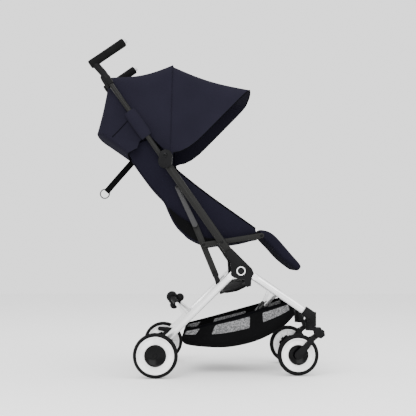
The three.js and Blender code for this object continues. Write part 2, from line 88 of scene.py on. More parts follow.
def bell(value, centre, spread):
    """A smooth bump: one at its centre, fading to nothing over about twice its spread."""
    return math.exp(-(((value - centre) / spread) ** 2))


# ---------- materials ----------


class Paint:
    """A node material under construction: a Principled shader and short ways to drive it."""

    def __init__(self, name, colour, roughness, metallic=0.0):
        self.material = bpy.data.materials.new(name)
        self.material.use_nodes = True
        self.tree = self.material.node_tree
        self.shader = self.tree.nodes["Principled BSDF"]
        self.colour = colour
        self.shader.inputs["Base Color"].default_value = (*colour, 1)
        self.shader.inputs["Roughness"].default_value = roughness
        self.shader.inputs["Metallic"].default_value = metallic
        self.place = self.tree.nodes.new("ShaderNodeTexCoord").outputs["Object"]

    def link(self, source, target):
        self.tree.links.new(source, target)

    def stretched(self, scale):
        mapping = self.tree.nodes.new("ShaderNodeMapping")
        mapping.inputs["Scale"].default_value = scale
        self.link(self.place, mapping.inputs["Vector"])
        return mapping.outputs["Vector"]

    def noise(self, scale, detail=3.0, stretch=(1, 1, 1)):
        node = self.tree.nodes.new("ShaderNodeTexNoise")
        node.inputs["Scale"].default_value = scale
        node.inputs["Detail"].default_value = detail
        self.link(self.stretched(stretch), node.inputs["Vector"])
        return node.outputs["Fac"]

    def wave(self, scale, direction):
        node = self.tree.nodes.new("ShaderNodeTexWave")
        node.bands_direction = direction
        node.inputs["Scale"].default_value = scale
        node.inputs["Distortion"].default_value = 0.4
        self.link(self.place, node.inputs["Vector"])
        return node.outputs["Fac"]

    def cells(self, scale):
        node = self.tree.nodes.new("ShaderNodeTexVoronoi")
        node.inputs["Scale"].default_value = scale
        self.link(self.place, node.inputs["Vector"])
        return node.outputs["Distance"]

    def combine(self, a, b, operation):
        node = self.tree.nodes.new("ShaderNodeMath")
        node.operation = operation
        self.link(a, node.inputs[0])
        self.link(b, node.inputs[1])
        return node.outputs[0]

    def vary_colour(self, amount, factor):
        """Lets the colour drift darker and lighter with a texture."""
        ramp = self.tree.nodes.new("ShaderNodeValToRGB")
        ramp.color_ramp.elements[0].position = 0.25
        ramp.color_ramp.elements[1].position = 0.75
        ramp.color_ramp.elements[0].color = (*(c * (1 - amount) for c in self.colour), 1)
        ramp.color_ramp.elements[1].color = (*(min(c * (1 + amount), 1) for c in self.colour), 1)
        self.link(factor, ramp.inputs["Fac"])
        self.link(ramp.outputs["Color"], self.shader.inputs["Base Color"])

    def vary_roughness(self, low, high, factor):
        node = self.tree.nodes.new("ShaderNodeMapRange")
        node.inputs["To Min"].default_value = low
        node.inputs["To Max"].default_value = high
        self.link(factor, node.inputs["Value"])
        self.link(node.outputs["Result"], self.shader.inputs["Roughness"])

    def bump(self, height, strength, distance):
        node = self.tree.nodes.new("ShaderNodeBump")
        node.inputs["Strength"].default_value = strength
        node.inputs["Distance"].default_value = distance
        self.link(height, node.inputs["Height"])
        self.link(node.outputs["Normal"], self.shader.inputs["Normal"])

    def set(self, **values):
        for name, value in values.items():
            self.shader.inputs[name.replace("_", " ")].default_value = value
        return self.material


def woven(name, colour, thread=0.9, sheen=0.04, shade=0.12):
    """Plain weave with threads crossing, soft colour drift and a faint sheen."""
    paint = Paint(name, colour, 0.85)
    scale = 1 / (thread * MM) / 20
    height = paint.combine(paint.wave(scale, "DIAGONAL"), paint.wave(scale, "Y"), "MULTIPLY")
    paint.vary_colour(shade, paint.noise(9, 4))
    paint.vary_roughness(0.74, 0.92, paint.noise(40))
    paint.bump(height, 0.35, 0.0004)
    return paint.set(Sheen_Weight=sheen, Sheen_Roughness=0.45, Specular_IOR_Level=0.0)


def open_mesh(name, colour):
    """Knitted mesh: small round holes between light threads."""
    paint = Paint(name, colour, 0.8)
    holes = paint.cells(260)
    paint.vary_colour(0.55, holes)
    paint.bump(holes, 0.5, 0.0006)
    return paint.set(Specular_IOR_Level=0.0)


def anodised(name, colour, roughness, metallic, grain=0.1, shine=0.5):
    """Drawn metal tube with fine lengthwise streaks."""
    paint = Paint(name, colour, roughness, metallic)
    streaks = paint.noise(160, 5, (0.25, 1, 0.25))
    paint.vary_roughness(roughness - grain, roughness + grain, streaks)
    paint.vary_colour(0.08, paint.noise(25))
    paint.bump(streaks, 0.04, 0.0002)
    return paint.set(Specular_IOR_Level=shine)


def moulded(name, colour, roughness=0.5, grain=900, shine=0.09):
    """Moulded plastic with a fine grain and slight wear in its gloss."""
    paint = Paint(name, colour, roughness)
    paint.vary_colour(0.2, paint.noise(30))
    paint.vary_roughness(roughness - 0.08, roughness + 0.1, paint.noise(70))
    paint.bump(paint.noise(grain, 2), 0.12, 0.0002)
    return paint.set(Specular_IOR_Level=shine)


def foam(name, colour):
    paint = Paint(name, colour, 0.85)
    paint.vary_colour(0.25, paint.noise(60))
    paint.bump(paint.cells(700), 0.3, 0.0004)
    return paint.set(Specular_IOR_Level=0.04)


MATERIALS = {
    "frame": anodised("anthracite_anodised", (0.0085, 0.0085, 0.0081), 0.42, 0.0, shine=0.11),
    "silver": anodised("silver_anodised", (0.86, 0.86, 0.865), 0.3, 0.75, 0.06),
    "link": anodised("grey_link", (0.034, 0.034, 0.035), 0.42, 0.3, shine=0.2),
    "plastic": moulded("black_moulded", (0.0048, 0.0048, 0.0052), shine=0.07),
    "gloss": moulded("black_gloss", (0.0015, 0.0015, 0.0018), 0.16, 300, 0.1),
    "grip": foam("foam_grip", (0.005, 0.005, 0.0052)),
    "fabric": woven("navy_weave", (0.0104, 0.0098, 0.0158), sheen=0.012),
    "seat": woven("seat_weave", (0.0078, 0.0074, 0.0125), 1.1, sheen=0.012),
    "piping": woven("black_piping", (0.0024, 0.0024, 0.003), 0.6, sheen=0.01),
    "webbing": woven("black_webbing", (0.004, 0.004, 0.0043), 1.6, sheen=0.015),
    "mesh": open_mesh("grey_mesh", (0.125, 0.125, 0.128)),
    "tyre": moulded("tyre_rubber", (0.0055, 0.0055, 0.0058), 0.78, 500, 0.05),
    "rim": moulded("white_rim", (0.86, 0.86, 0.86), 0.3, 250, 0.4),
    "light": moulded("light_grey", (0.52, 0.52, 0.53), 0.32, 400),
    "chrome": anodised("chrome_wire", (0.05, 0.05, 0.051), 0.16, 1.0, 0.03),
}

# ---------- mesh helpers ----------


def new_object(name, vertices, faces):
    mesh = bpy.data.meshes.new(name)
    mesh.from_pydata([tuple(v) for v in vertices], [], faces)
    mesh.update()
    obj = bpy.data.objects.new(name, mesh)
    bpy.context.scene.collection.objects.link(obj)
    return obj


def face_outwards(obj):
    bm = bmesh.new()
    bm.from_mesh(obj.data)
    bmesh.ops.remove_doubles(bm, verts=bm.verts, dist=1e-6)
    bmesh.ops.recalc_face_normals(bm, faces=bm.faces)
    bm.to_mesh(obj.data)
    bm.free()
    return obj


def capped(obj):
    """Closes the open ends of a tube-like mesh."""
    bm = bmesh.new()
    bm.from_mesh(obj.data)
    bmesh.ops.holes_fill(bm, edges=bm.edges)
    bm.to_mesh(obj.data)
    bm.free()
    return face_outwards(obj)


def smooth(obj, angle=math.radians(38)):
    for polygon in obj.data.polygons:
        polygon.use_smooth = True
    obj.data.set_sharp_from_angle(angle=angle)
    return obj


def modified(obj, kind, **settings):
    """Adds a modifier and bakes it into the mesh."""
    modifier = obj.modifiers.new(kind.lower(), kind)
    for key, value in settings.items():
        setattr(modifier, key, value)
    graph = bpy.context.evaluated_depsgraph_get()
    mesh = bpy.data.meshes.new_from_object(obj.evaluated_get(graph))
    obj.modifiers.clear()
    obj.data = mesh
    return obj


def joined(name, objects):
    """One object from several, each keeping its own shape."""
    bm = bmesh.new()
    for obj in objects:
        bm.from_mesh(obj.data)
        bpy.data.objects.remove(obj)
    mesh = bpy.data.meshes.new(name)
    bm.to_mesh(mesh)
    bm.free()
    whole = bpy.data.objects.new(name, mesh)
    bpy.context.scene.collection.objects.link(whole)
    return whole


def grid(name, rows, closed_rows=False):
    """A surface through rows of points; closed_rows joins each row's end to its start."""
    width = len(rows[0])
    faces = []
    for i in range(len(rows) - 1):
        for j in range(width if closed_rows else width - 1):
            k = (j + 1) % width
            faces.append((i * width + j, i * width + k, (i + 1) * width + k, (i + 1) * width + j))
    return new_object(name, [point for row in rows for point in row], faces)


def sheet_body(obj, thickness, level=1):
    """Gives a surface its cloth thickness and smooths it."""
    face_outwards(obj)
    modified(obj, "SOLIDIFY", thickness=thickness, offset=0)
    if level:
        modified(obj, "SUBSURF", levels=level, render_levels=level)
    return smooth(obj, math.radians(60))


def tube_along(name, points, radius, sides=10, closed=False, flat=1.0, up=Vector((0, 0, 1))):
    """A round or flattened tube through points, closed at its ends."""
    rows = []
    count = len(points)
    for i, point in enumerate(points):
        before = points[(i - 1) % count] if closed or i > 0 else point
        after = points[(i + 1) % count] if closed or i < count - 1 else point
        run = (after - before).normalized()
        side = run.cross(up)
        side = side.normalized() if side.length > 1e-4 else Vector((0, 1, 0))
        rise = side.cross(run)
        turn = 2 * math.pi / sides
        ring = [
            point + side * (radius * math.cos(turn * k)) + rise * (radius * flat * math.sin(turn * k))
            for k in range(sides)
        ]
        rows.append(ring)
    if closed:
        rows.append(rows[0])
    obj = grid(name, rows, closed_rows=True)
    return smooth(face_outwards(obj) if closed else capped(obj))


def turned(name, profile, centre, side, segments=72):
    """A body turned about an axis across the stroller; the profile holds (radius, offset) pairs."""
    rows = []
    for step in range(segments):
        angle = 2 * math.pi * step / segments
        spoke = Vector((math.cos(angle), math.sin(angle)))
        rows.append([place(centre + spoke * radius, side * offset) for radius, offset in profile])
    rows.append(rows[0])
    return smooth(face_outwards(grid(name, rows, closed_rows=True)))


def finish_piece(obj, material, body, slot, *nodes):
    """Gives a piece its material and the body it rides on, and hides the CAD nodes it stands for; the
    slot is not used.
    """
    obj.data.materials.clear()
    obj.data.materials.append(MATERIALS[material])
    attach(obj, body)
    if nodes:
        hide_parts(*nodes)
    return obj


def narrows(obj):
    """Gives a soft piece its own copy of its mesh."""
    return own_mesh(obj)


# ---------- hard parts: softened copies of the frame's solids ----------


def softened(node, material, slot, bevel=0.8):
    """The frame's solid with its facets merged, its edges rounded and its curves shaded smooth."""
    mesh = frame["nodes"][node].data.copy()
    obj = bpy.data.objects.new(f"{node}_finish", mesh)
    bpy.context.scene.collection.objects.link(obj)
    bm = bmesh.new()
    bm.from_mesh(mesh)
    bmesh.ops.remove_doubles(bm, verts=bm.verts, dist=2e-6)
    bmesh.ops.dissolve_limit(bm, angle_limit=math.radians(1), verts=bm.verts, edges=bm.edges)
    bm.to_mesh(mesh)
    bm.free()
    modified(
        obj,
        "BEVEL",
        width=bevel * MM,
        segments=2,
        limit_method="ANGLE",
        angle_limit=math.radians(40),
        harden_normals=False,
    )
    smooth(obj, math.radians(35))
    return finish_piece(obj, material, body_of_node(node), slot, node)


def body_of_node(node):
    for body, nodes in frame["record"]["behaviour"]["bodies"].items():
        if node in nodes:
            return body
    raise KeyError(node)


# Nodes on both sides of the frame: material, slot and width of the rounded edges.
HARD_PIECES = {
    "main_tube": ("frame", "frame", 0.6),
    "hub_casing": ("plastic", "plastic", 1.2),
    "canopy_clamp": ("plastic", "plastic", 1.5),
    "handle_tube": ("frame", "frame", 0.5),
    "rear_leg": ("silver", "silver", 0.8),
    "rear_bracket": ("plastic", "plastic", 1.5),
    "strut_bracket": ("plastic", "plastic", 0.8),
    "front_leg": ("silver", "silver", 0.8),
    "front_housing": ("plastic", "plastic", 1.5),
    "swivel_yoke": ("plastic", "plastic", 1.0),
    "suspension_arm": ("plastic", "plastic", 1.0),
    "seat_tube": ("frame", "frame", 1.5),
    "strut": ("frame", "frame", 2.0),
    "upper_link": ("link", "light", 1.0),
    "rear_bar": ("silver", "silver", 0.6),
    "front_bar": ("silver", "silver", 0.6),
    "under_bar": ("plastic", "plastic", 0.8),
}


def hard_parts():
    for side in SIDES:
        for node, (material, slot, bevel) in HARD_PIECES.items():
            softened(f"{node}_{side}", material, slot, bevel)
    for node in ("rear_hub", "front_hub", "under_hub", "brake_pedal"):
        softened(node, "plastic", "plastic", 1.2)


# ---------- wheels ----------

HUB_SHARE = 0.49  # radius of the hub cap, as a share of the wheel's radius


def tyre(name, wheel, side, segments=96):
    """Tyre with a rounded crown and two shallow grooves round the tread."""
    radius, half = wheel["radius"], wheel["width"] / 2
    seat = radius * wheel["seat"]
    profile = [(seat, wheel["offset"] - half + 4), (seat, wheel["offset"] + half - 4)]
    steps = 18
    for i in range(steps + 1):
        angle = math.pi * i / steps - math.pi / 2
        crown = radius - 8 + 8 * math.cos(angle) ** 0.8
        groove = 0.9 if i in (6, 12) else 0
        profile.append((crown - groove, wheel["offset"] - half * math.sin(angle)))
    return turned(name, profile, wheel["centre"], side, segments)


def rim(name, wheel, side, segments=96):
    """White disc with a rolled lip, a dished face and ribs on its inner side."""
    seat = wheel["radius"] * wheel["seat"] - 0.3
    hub = wheel["radius"] * HUB_SHARE
    inner = wheel["offset"] - wheel["width"] / 2 + 4
    outer = wheel["offset"] + wheel["width"] / 2 - 2
    profile = [
        (hub, outer - 4),
        (hub + 2, outer - 4.6),
        (seat - 7, outer - 4.2),
        (seat - 4, outer - 1.2),
        (seat - 2, outer),
        (seat, outer - 0.8),
        (seat, inner + 0.8),
        (seat - 2, inner),
        (seat - 4, inner + 1),
        (seat - 7, inner + 5.4),
        (hub, inner + 5.4),
    ]
    disc = turned(name, profile, wheel["centre"], side, segments)
    ribs = [disc]
    rib_count = 12
    for i in range(rib_count):
        angle = 2 * math.pi * i / rib_count
        spoke = Vector((math.cos(angle), math.sin(angle)))
        ends = [wheel["centre"] + spoke * (hub - 3), wheel["centre"] + spoke * (seat - 4)]
        points = [place(end, side * (inner + 4)) for end in ends]
        ribs.append(tube_along("rib", points, 2 * MM, 6, up=Vector((0, 1, 0))))
    return smooth(joined(name, ribs))


def hub_cap(name, wheel, side):
    """Domed black cap with a raised rim and a centre boss; its inner side carries the axle collar."""
    hub = wheel["radius"] * HUB_SHARE
    outer = wheel["offset"] + wheel["width"] / 2 - 2
    inner = wheel["offset"] - wheel["width"] / 2 + 1
    profile = [
        (0.1, outer + 0.4),
        (6, outer + 0.4),
        (7, outer - 1),
        (hub - 5, outer - 0.4),
        (hub - 3, outer + 1),
        (hub - 1, outer + 0.8),
        (hub, outer - 1),
        (hub, outer - 5),
        (hub - 3, outer - 7),
        (hub - 6, inner),
        (9, inner),
        (8, inner - 1.5),
        (0.1, inner - 1.5),
    ]
    return turned(name, profile, wheel["centre"], side, 64)


def wheels():
    for side, sign in SIDES.items():
        for end, wheel in (("rear", REAR_WHEEL), ("front", FRONT_WHEEL)):
            body = f"{end}_wheel_{side}"
            tread = tyre(f"{end}_tyre_{side}_tread", wheel, sign)
            finish_piece(tread, "tyre", body, "tyre", f"{end}_tyre_{side}")
            disc = rim(f"{end}_rim_{side}_disc", wheel, sign)
            finish_piece(disc, "rim", body, "rim", f"{end}_rim_{side}")
            cap = hub_cap(f"{end}_hub_cap_{side}", wheel, sign)
            finish_piece(cap, "gloss", body, "plastic")


# ---------- handles, hub covers and small hardware ----------

# (distance along the grip, radius)
FOAM_PROFILE = [(-8, 9), (-7, 12), (-4.5, 13.2), (0, 13.6), (40, 13.3), (80, 13.3), (112, 13.6)]
FOAM_PROFILE += [(116, 13.2), (118.4, 12), (119.4, 9)]
BUTTON_PROFILE = [(113, 7.2), (124, 7.2), (126, 6.6), (127, 5.2), (127.2, 3)]
# (distance along the main tube, radius)
ELBOW_PROFILE = [(694, 8.4), (696, 10.2), (712, 10.8), (714, 11.8)]
ELBOW_PROFILE += [(720, 11.8), (722, 10.6), (736, 10.8)]
LATCH_PROFILE = [(688, 2), (690, 5), (704, 6.6), (720, 6), (730, 4), (733, 1)]
# (radius, distance from the middle plane)
COVER_PROFILE = [(0.1, 216.4), (14.5, 216.4), (14.5, 218.6), (13.6, 219.4), (0.1, 219.4)]
RING_PROFILE = [(10.6, 219.2), (13.4, 219.2), (13.4, 220.0), (12.9, 220.3)]
RING_PROFILE += [(11.1, 220.3), (10.6, 220.0)]


def rounded_rod(name, stations, offset, squeeze=1.0, sides=24):
    """A round body through (side-view point, radius) stations, closed at both ends."""
    rows = []
    for i, (point, radius) in enumerate(stations):
        before = stations[max(i - 1, 0)][0]
        after = stations[min(i + 1, len(stations) - 1)][0]
        run = (after - before).normalized()
        across = Vector((-run.y, run.x))
        ring = []
        for k in range(sides):
            angle = 2 * math.pi * k / sides
            flat = point + across * (radius * math.cos(angle))
            ring.append(place(flat, offset + radius * squeeze * math.sin(angle)))
        rows.append(ring)
    return smooth(capped(grid(name, rows, closed_rows=True)))


def grips():
    """Straight foam grip on a moulded elbow, with a light grey button at its tip."""
    forward = Vector((math.cos(GRIP_ANGLE), math.sin(GRIP_ANGLE)))
    for side, sign in SIDES.items():
        offset = sign * TUBE_OFFSET
        handle = f"handle_{side}"
        stations = [(GRIP_START + forward * distance, radius) for distance, radius in FOAM_PROFILE]
        foam_grip = rounded_rod(f"grip_{side}_foam", stations, offset, 0.95)
        finish_piece(foam_grip, "grip", handle, "grip", f"grip_{side}")
        stations = [(on_main(distance, 0.5), radius) for distance, radius in ELBOW_PROFILE]
        stations.append((GRIP_START + forward * 6, 11))
        elbow = rounded_rod(f"grip_{side}_elbow", stations, offset, 0.95)
        finish_piece(elbow, "plastic", handle, "plastic")
        stations = [(GRIP_START + forward * distance, radius) for distance, radius in BUTTON_PROFILE]
        button = rounded_rod(f"grip_{side}_button_cap", stations, offset)
        finish_piece(button, "light", f"button_{side}", "light", f"grip_button_{side}")
        stations = [(on_main(distance, -11), radius) for distance, radius in LATCH_PROFILE]
        latch = rounded_rod(f"handle_latch_{side}", stations, offset, 0.8, 12)
        finish_piece(latch, "plastic", handle, "plastic")


def hub_covers():
    """Round cover with a plain raised ring."""
    for side, sign in SIDES.items():
        cover = turned(f"hub_cover_{side}_disc", COVER_PROFILE, HUB, sign, 64)
        finish_piece(cover, "plastic", f"frame_{side}", "plastic", f"hub_cover_{side}")
        band = turned(f"hub_cover_{side}_ring", RING_PROFILE, HUB, sign, 64)
        finish_piece(band, "rim", f"frame_{side}", "light")


def rivet(name, point, offset, radius, body, sign):
    """Domed rivet head standing outwards from a layer."""
    profile = [
        (0.1, offset - 0.4),
        (radius, offset - 0.4),
        (radius, offset + 0.5),
        (radius * 0.7, offset + 1.3),
        (0.1, offset + 1.6),
    ]
    head = turned(name, profile, point, sign, 24)
    return finish_piece(head, "gloss", body, "plastic")


def rivets():
    for side, sign in SIDES.items():
        main = f"frame_{side}"
        rivet(f"rivet_seat_{side}", Vector((47, 404)), 209.5, 4.5, main, sign)
        rivet(f"rivet_link_{side}", Vector((-89, 571)), 209.5, 4, main, sign)
        rivet(f"rivet_strut_{side}", Vector((-8.7, 396)), 184, 4.5, f"seat_tube_{side}", sign)
        rivet(f"rivet_leg_rest_{side}", Vector((168, 424)), 184, 4.5, f"seat_tube_{side}", sign)
        rivet(f"rivet_clamp_{side}", CANOPY_PIVOT + Vector((0, 4)), 218.3, 5.5, main, sign)


# ---------- canopy ----------


def hoop_row(base, top, half, corner, heel=None, points=12):
    """One hoop of the canopy: up from its base on the right side, over the roof and down on the left.

    The foot of the hoop can curve back to a heel point instead of ending at its base.
    """
    row = []
    rise = (top - base).length
    up = (top - base).normalized()
    corner = min(corner, rise * 0.6)
    side_height = rise - corner - CANOPY_CROWN
    foot = rise * 0.24
    for i in range(points):
        height = side_height * i / points
        flat = base + up * height
        if heel and height < foot:
            share = height / foot
            rest = 1 - share
            flat = heel * rest**2 + base * (2 * share * rest) + (base + up * foot) * share**2
        row.append((flat, -half - 2.0 * math.sin(math.pi * i / points)))
    corner_steps = 6
    for i in range(corner_steps + 1):
        angle = math.pi / 2 * i / corner_steps
        height = side_height + corner * math.sin(angle)
        row.append((base + up * height, -half + corner * (1 - math.cos(angle))))
    for part in (1 / 3, 2 / 3, 1):
        offset = -(half - corner) * (1 - part)
        lift = CANOPY_CROWN * (1 - (1 - part) ** 2)
        row.append((base + up * (rise - CANOPY_CROWN + lift), offset))
    mirrored = [(flat, -offset) for flat, offset in reversed(row[:-1])]
    return [place(flat, offset) for flat, offset in row + mirrored]


def hoop_rows(stations, half, steps, sags, heel=None):
    """Rows of cloth between hoops, closest near the hoops, pulled in midway by each span's sag."""
    rows = []
    for k, sag in enumerate(sags):
        (base_a, top_a, corner_a), (base_b, top_b, corner_b) = stations[k], stations[k + 1]
        last = k == len(stations) - 2
        for i in range(steps + (1 if last else 0)):
            part = 0.5 - 0.5 * math.cos(math.pi * i / steps)
            base = lerp(base_a, base_b, part)
            top = lerp(top_a, top_b, part)
            pull = sag * math.sin(math.pi * part)
            top = top - (top - base).normalized() * pull
            corner = lerp(corner_a, corner_b, part)
            foot_at = lerp(base_a, heel, part) if heel else None
            rows.append(hoop_row(base, top, half - pull * 0.3, corner, foot_at))
    return rows


CANOPY_CROWN = 8  # how far the roof rises between its rounded corners
REAR_HALF = 184
FRONT_HALF = 181
REAR_STEPS = 8  # rows of cloth from one hoop to the next
FRONT_STEPS = 12
# Hoops from the back forwards: base, top and corner radius.
REAR_STATIONS = [
    (Vector((-212, 690)), Vector((-248, 672)), 12),
    (Vector((-204, 712)), Vector((-346, 742)), 40),
    (Vector((-178, 734)), Vector((-306, 925)), 50),
    (Vector((-112, 670)), Vector((-105, 966)), 52),
]
FRONT_STATIONS = [
    (Vector((-112, 668)), Vector((-108, 963)), 52),
    (Vector((-60, 680)), Vector((141, 884)), 46),
]
FRONT_HEEL = Vector((-102, 677))
PANEL_SEAM = side_line((-242, 774), (-252, 763), (-270, 743), (-288, 725))


def piping(name, row, radius=1.1):
    return tube_along(name, row, radius * MM, 8, up=Vector((1, 0, 0.3)))


def canopy():
    """Fixed rear cloth and folding front cloth, with piping at the hoops and a seam on each side."""
    rear_rows = hoop_rows(REAR_STATIONS, REAR_HALF, REAR_STEPS, (1, 3, 12))
    rear = sheet_body(grid("canopy_rear_cloth", rear_rows), 1.4 * MM)
    finish_piece(rear, "fabric", "frame_right", "fabric", "canopy_rear")
    narrows(rear)
    front_rows = hoop_rows(FRONT_STATIONS, FRONT_HALF, FRONT_STEPS, (9,), FRONT_HEEL)
    front = sheet_body(grid("canopy_front_cloth", front_rows), 1.4 * MM)
    finish_piece(front, "fabric", "canopy_front", "fabric", "canopy_front")
    narrows(front)
    for index in range(0, len(rear_rows), REAR_STEPS):
        edge = piping(f"canopy_rear_piping_{index}", rear_rows[index])
        narrows(finish_piece(edge, "piping" if index == 0 else "fabric", "frame_right", "fabric"))
    edge = piping("canopy_front_piping", front_rows[-1], 1.6)
    narrows(finish_piece(edge, "piping", "canopy_front", "fabric"))
    for side, sign in SIDES.items():
        points = [place(point, sign * (REAR_HALF + 2.3)) for point in PANEL_SEAM]
        seam = tube_along(f"canopy_panel_seam_{side}", points, 1.0 * MM, 8, up=Vector((0, 1, 0)))
        narrows(finish_piece(seam, "piping", "frame_right", "fabric"))


SLEEVE_START = 499
SLEEVE_LENGTH = 96
SLEEVE_HALF_DEPTH = 17
SLEEVE_HALF_WIDTH = 10.5


def canopy_sleeves():
    """Fabric loops that hold the canopy's back to the handle tubes."""
    steps = 8
    sides = 20
    for side, sign in SIDES.items():
        rows = []
        for i in range(steps + 1):
            distance = SLEEVE_START + SLEEVE_LENGTH * i / steps
            bulge = 1 + 0.12 * math.sin(math.pi * i / steps)
            centre = on_main(distance, -2)
            ring = []
            for k in range(sides):
                angle = 2 * math.pi * k / sides
                flat = centre + FRONT_NORMAL * (SLEEVE_HALF_DEPTH * bulge * math.cos(angle))
                offset = sign * (TUBE_OFFSET - 2) + SLEEVE_HALF_WIDTH * math.sin(angle)
                ring.append(place(flat, offset))
            rows.append(ring)
        sleeve = sheet_body(grid(f"canopy_sleeve_{side}", rows, closed_rows=True), 1.6 * MM)
        finish_piece(sleeve, "fabric", f"frame_{side}", "fabric")
        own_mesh(sleeve)


# ---------- seat ----------

BACK_LINE = side_line((-236, 662), (-204, 619), (-172, 577), (-134, 536))
BACK_LINE += side_line((-117, 500), (-101, 468), (-82, 443), (-58, 422))
SEAT_LINE = side_line((-70, 428), (-24, 405), (20, 398), (90, 403), (156, 417))


def line_point(points, part):
    """A point on the smooth curve through side-view points, by share of the number of spans."""
    along = min(max(part, 0), 1) * (len(points) - 1)
    index = min(int(along), len(points) - 2)
    t = along - index
    before = points[max(index - 1, 0)]
    start, end = points[index], points[index + 1]
    after = points[min(index + 2, len(points) - 1)]
    slope_in, slope_out = (end - before) / 2, (after - start) / 2
    cubic = 2 * t**3 - 3 * t**2 + 1
    return (
        start * cubic
        + slope_in * (t**3 - 2 * t**2 + t)
        + end * (1 - cubic)
        + slope_out * (t**3 - t**2)
    )


def pad(name, line, half, thickness, channels, roll):
    """A crowned pad along a side-view line: a closed form with rounded edges and sewn channels."""
    length_steps = 40
    width_steps = 18
    rows = []
    for i in range(length_steps + 1):
        part = i / length_steps
        ahead = line_point(line, min(part + 0.02, 1)) - line_point(line, max(part - 0.02, 0))
        normal = Vector((-ahead.y, ahead.x)).normalized()
        ends = math.sqrt(max(0.0, 1 - abs(2 * part - 1) ** 6))
        seam = 1 - 0.28 * bell(math.sin(math.pi * channels * part), 0, 0.16)
        upper, lower = [], []
        for j in range(width_steps + 1):
            across = 2 * j / width_steps - 1
            edge = math.sqrt(max(0.0, 1 - abs(across) ** 5))
            crown = thickness * (0.35 + 0.65 * edge * ends) * (1 - 0.12 * across * across)
            base = line_point(line, part)
            lift = crown * seam if edge > 0 else crown
            pull = 1 - 0.02 * (1 - ends)
            offset = across * half * pull
            upper.append(place(base + normal * (2 + lift * max(ends, 0.25)), offset))
            lower.append(place(base - normal * roll * edge * ends, offset))
        rows.append(upper + lower[::-1])
    body = grid(name, rows, closed_rows=True)
    capped(body)
    modified(body, "SUBSURF", levels=1, render_levels=1)
    return smooth(body, math.radians(70))


WING_TOP = side_line((-166, 724), (-142, 690), (-106, 640), (-50, 593))
WING_TOP += side_line((26, 535), (88, 491), (151, 446))
WING_BOTTOM = side_line((-247, 696), (-233, 664), (-203, 622), (-171, 579), (-133, 538))
WING_BOTTOM += side_line((-114, 502), (-98, 470), (-78, 445), (-50, 421))
WING_BOTTOM += side_line((-14, 403), (40, 399), (100, 404), (156, 418))
WING_OFFSET = 153
WING_STEPS = 40


def wing_flare(point):
    """How far a wing reaches outwards where it is tied to the main tube, above the linkage."""
    from_tube = (point - MAIN_FOOT).dot(FRONT_NORMAL)
    below_clamp = 26 * bell(point.y, 636, 30)
    under_canopy = 13 / (1 + math.exp((672 - point.y) / 8))
    return (below_clamp + under_canopy) * bell(from_tube, 0, 42)


def wings():
    """Side panels that rise from the seat to their bound upper edge."""
    rise_steps = 8
    for side, sign in SIDES.items():
        rows = []
        for i in range(WING_STEPS + 1):
            part = i / WING_STEPS
            low = line_point(WING_BOTTOM, part)
            high = line_point(WING_TOP, part)
            row = []
            for j in range(rise_steps + 1):
                rise = j / rise_steps
                bulge = 5 * math.sin(math.pi * rise)
                fold = 1.2 * math.sin(9 * part + 5 * rise) * math.sin(math.pi * rise)
                point = lerp(low, high, rise)
                offset = WING_OFFSET + 3 * rise + bulge + fold + wing_flare(point)
                row.append(place(point, sign * offset))
            rows.append(row)
        wing = sheet_body(grid(f"seat_wing_{side}", rows), 2.4 * MM)
        finish_piece(wing, "seat", "frame_right", "fabric")
        narrows(wing)
        upper_edge = [row[-1] for row in rows]
        edge = tube_along(f"seat_wing_{side}_binding", upper_edge, 2.6 * MM, 8, up=Vector((0, 1, 0)))
        narrows(finish_piece(edge, "piping", "frame_right", "fabric"))


def seat_hems():
    """Black band along the wings' lower edge, widest at the bag behind the seat's rear corner."""
    first = 0.4  # share of the wing's length where the band starts
    offsets = [161, 163.5, 164.5, 165, 164.5]
    for side, sign in SIDES.items():
        rows = []
        for i in range(WING_STEPS + 1):
            part = first + (1 - first) * i / WING_STEPS
            ahead = line_point(WING_BOTTOM, min(part + 0.02, 1)) - line_point(WING_BOTTOM, part - 0.02)
            normal = Vector((-ahead.y, ahead.x)).normalized()
            width = 17 + 16 * bell(part, 0.6, 0.1) - 12 * bell(part, first, 0.05)
            low = line_point(WING_BOTTOM, part) - normal
            row = []
            for k, offset in enumerate(offsets):
                row.append(place(low + normal * (width * k / 4), sign * offset))
            rows.append(row)
        hem = sheet_body(grid(f"seat_hem_{side}", rows), 1.6 * MM)
        narrows(finish_piece(hem, "webbing", "frame_right", "fabric"))


def gussets():
    """Inner side flaps that move with the backrest and cover most of the gap when it reclines."""
    steps = 20
    for side, sign in SIDES.items():
        rows = []
        for i in range(steps + 1):
            part = i / steps
            back = line_point(BACK_LINE, part)
            reach = 96 * (1 - part) ** 0.8
            front = back + FRONT_NORMAL * (18 + reach * 0.9)
            row = []
            for k in range(6):
                offset = 147.5 + math.sin(3 * k + 6 * part)
                row.append(place(lerp(back, front, k / 5), sign * offset))
            rows.append(row)
        flap = sheet_body(grid(f"backrest_gusset_{side}", rows), 1.6 * MM)
        narrows(finish_piece(flap, "seat", "seat_back", "fabric"))


def backrest_head():
    """Soft upper end of the backrest, which reaches up inside the canopy's lower edge."""
    upwards = (BACK_LINE[0] - BACK_LINE[1]).normalized()
    steps = 8
    rows = []
    for i in range(steps + 1):
        height = 44 * i / steps - 6
        half = 143 - 16 * (i / steps) ** 4
        row = []
        for k in range(13):
            across = k / 6 - 1
            rise = upwards * (height - 5 * across**2)
            flat = BACK_LINE[0] + rise + FRONT_NORMAL * (5 + 3 * across**2)
            row.append(place(flat, half * across))
        rows.append(row)
    head = sheet_body(grid("backrest_head", rows), 4 * MM)
    narrows(finish_piece(head, "seat", "seat_back", "fabric"))


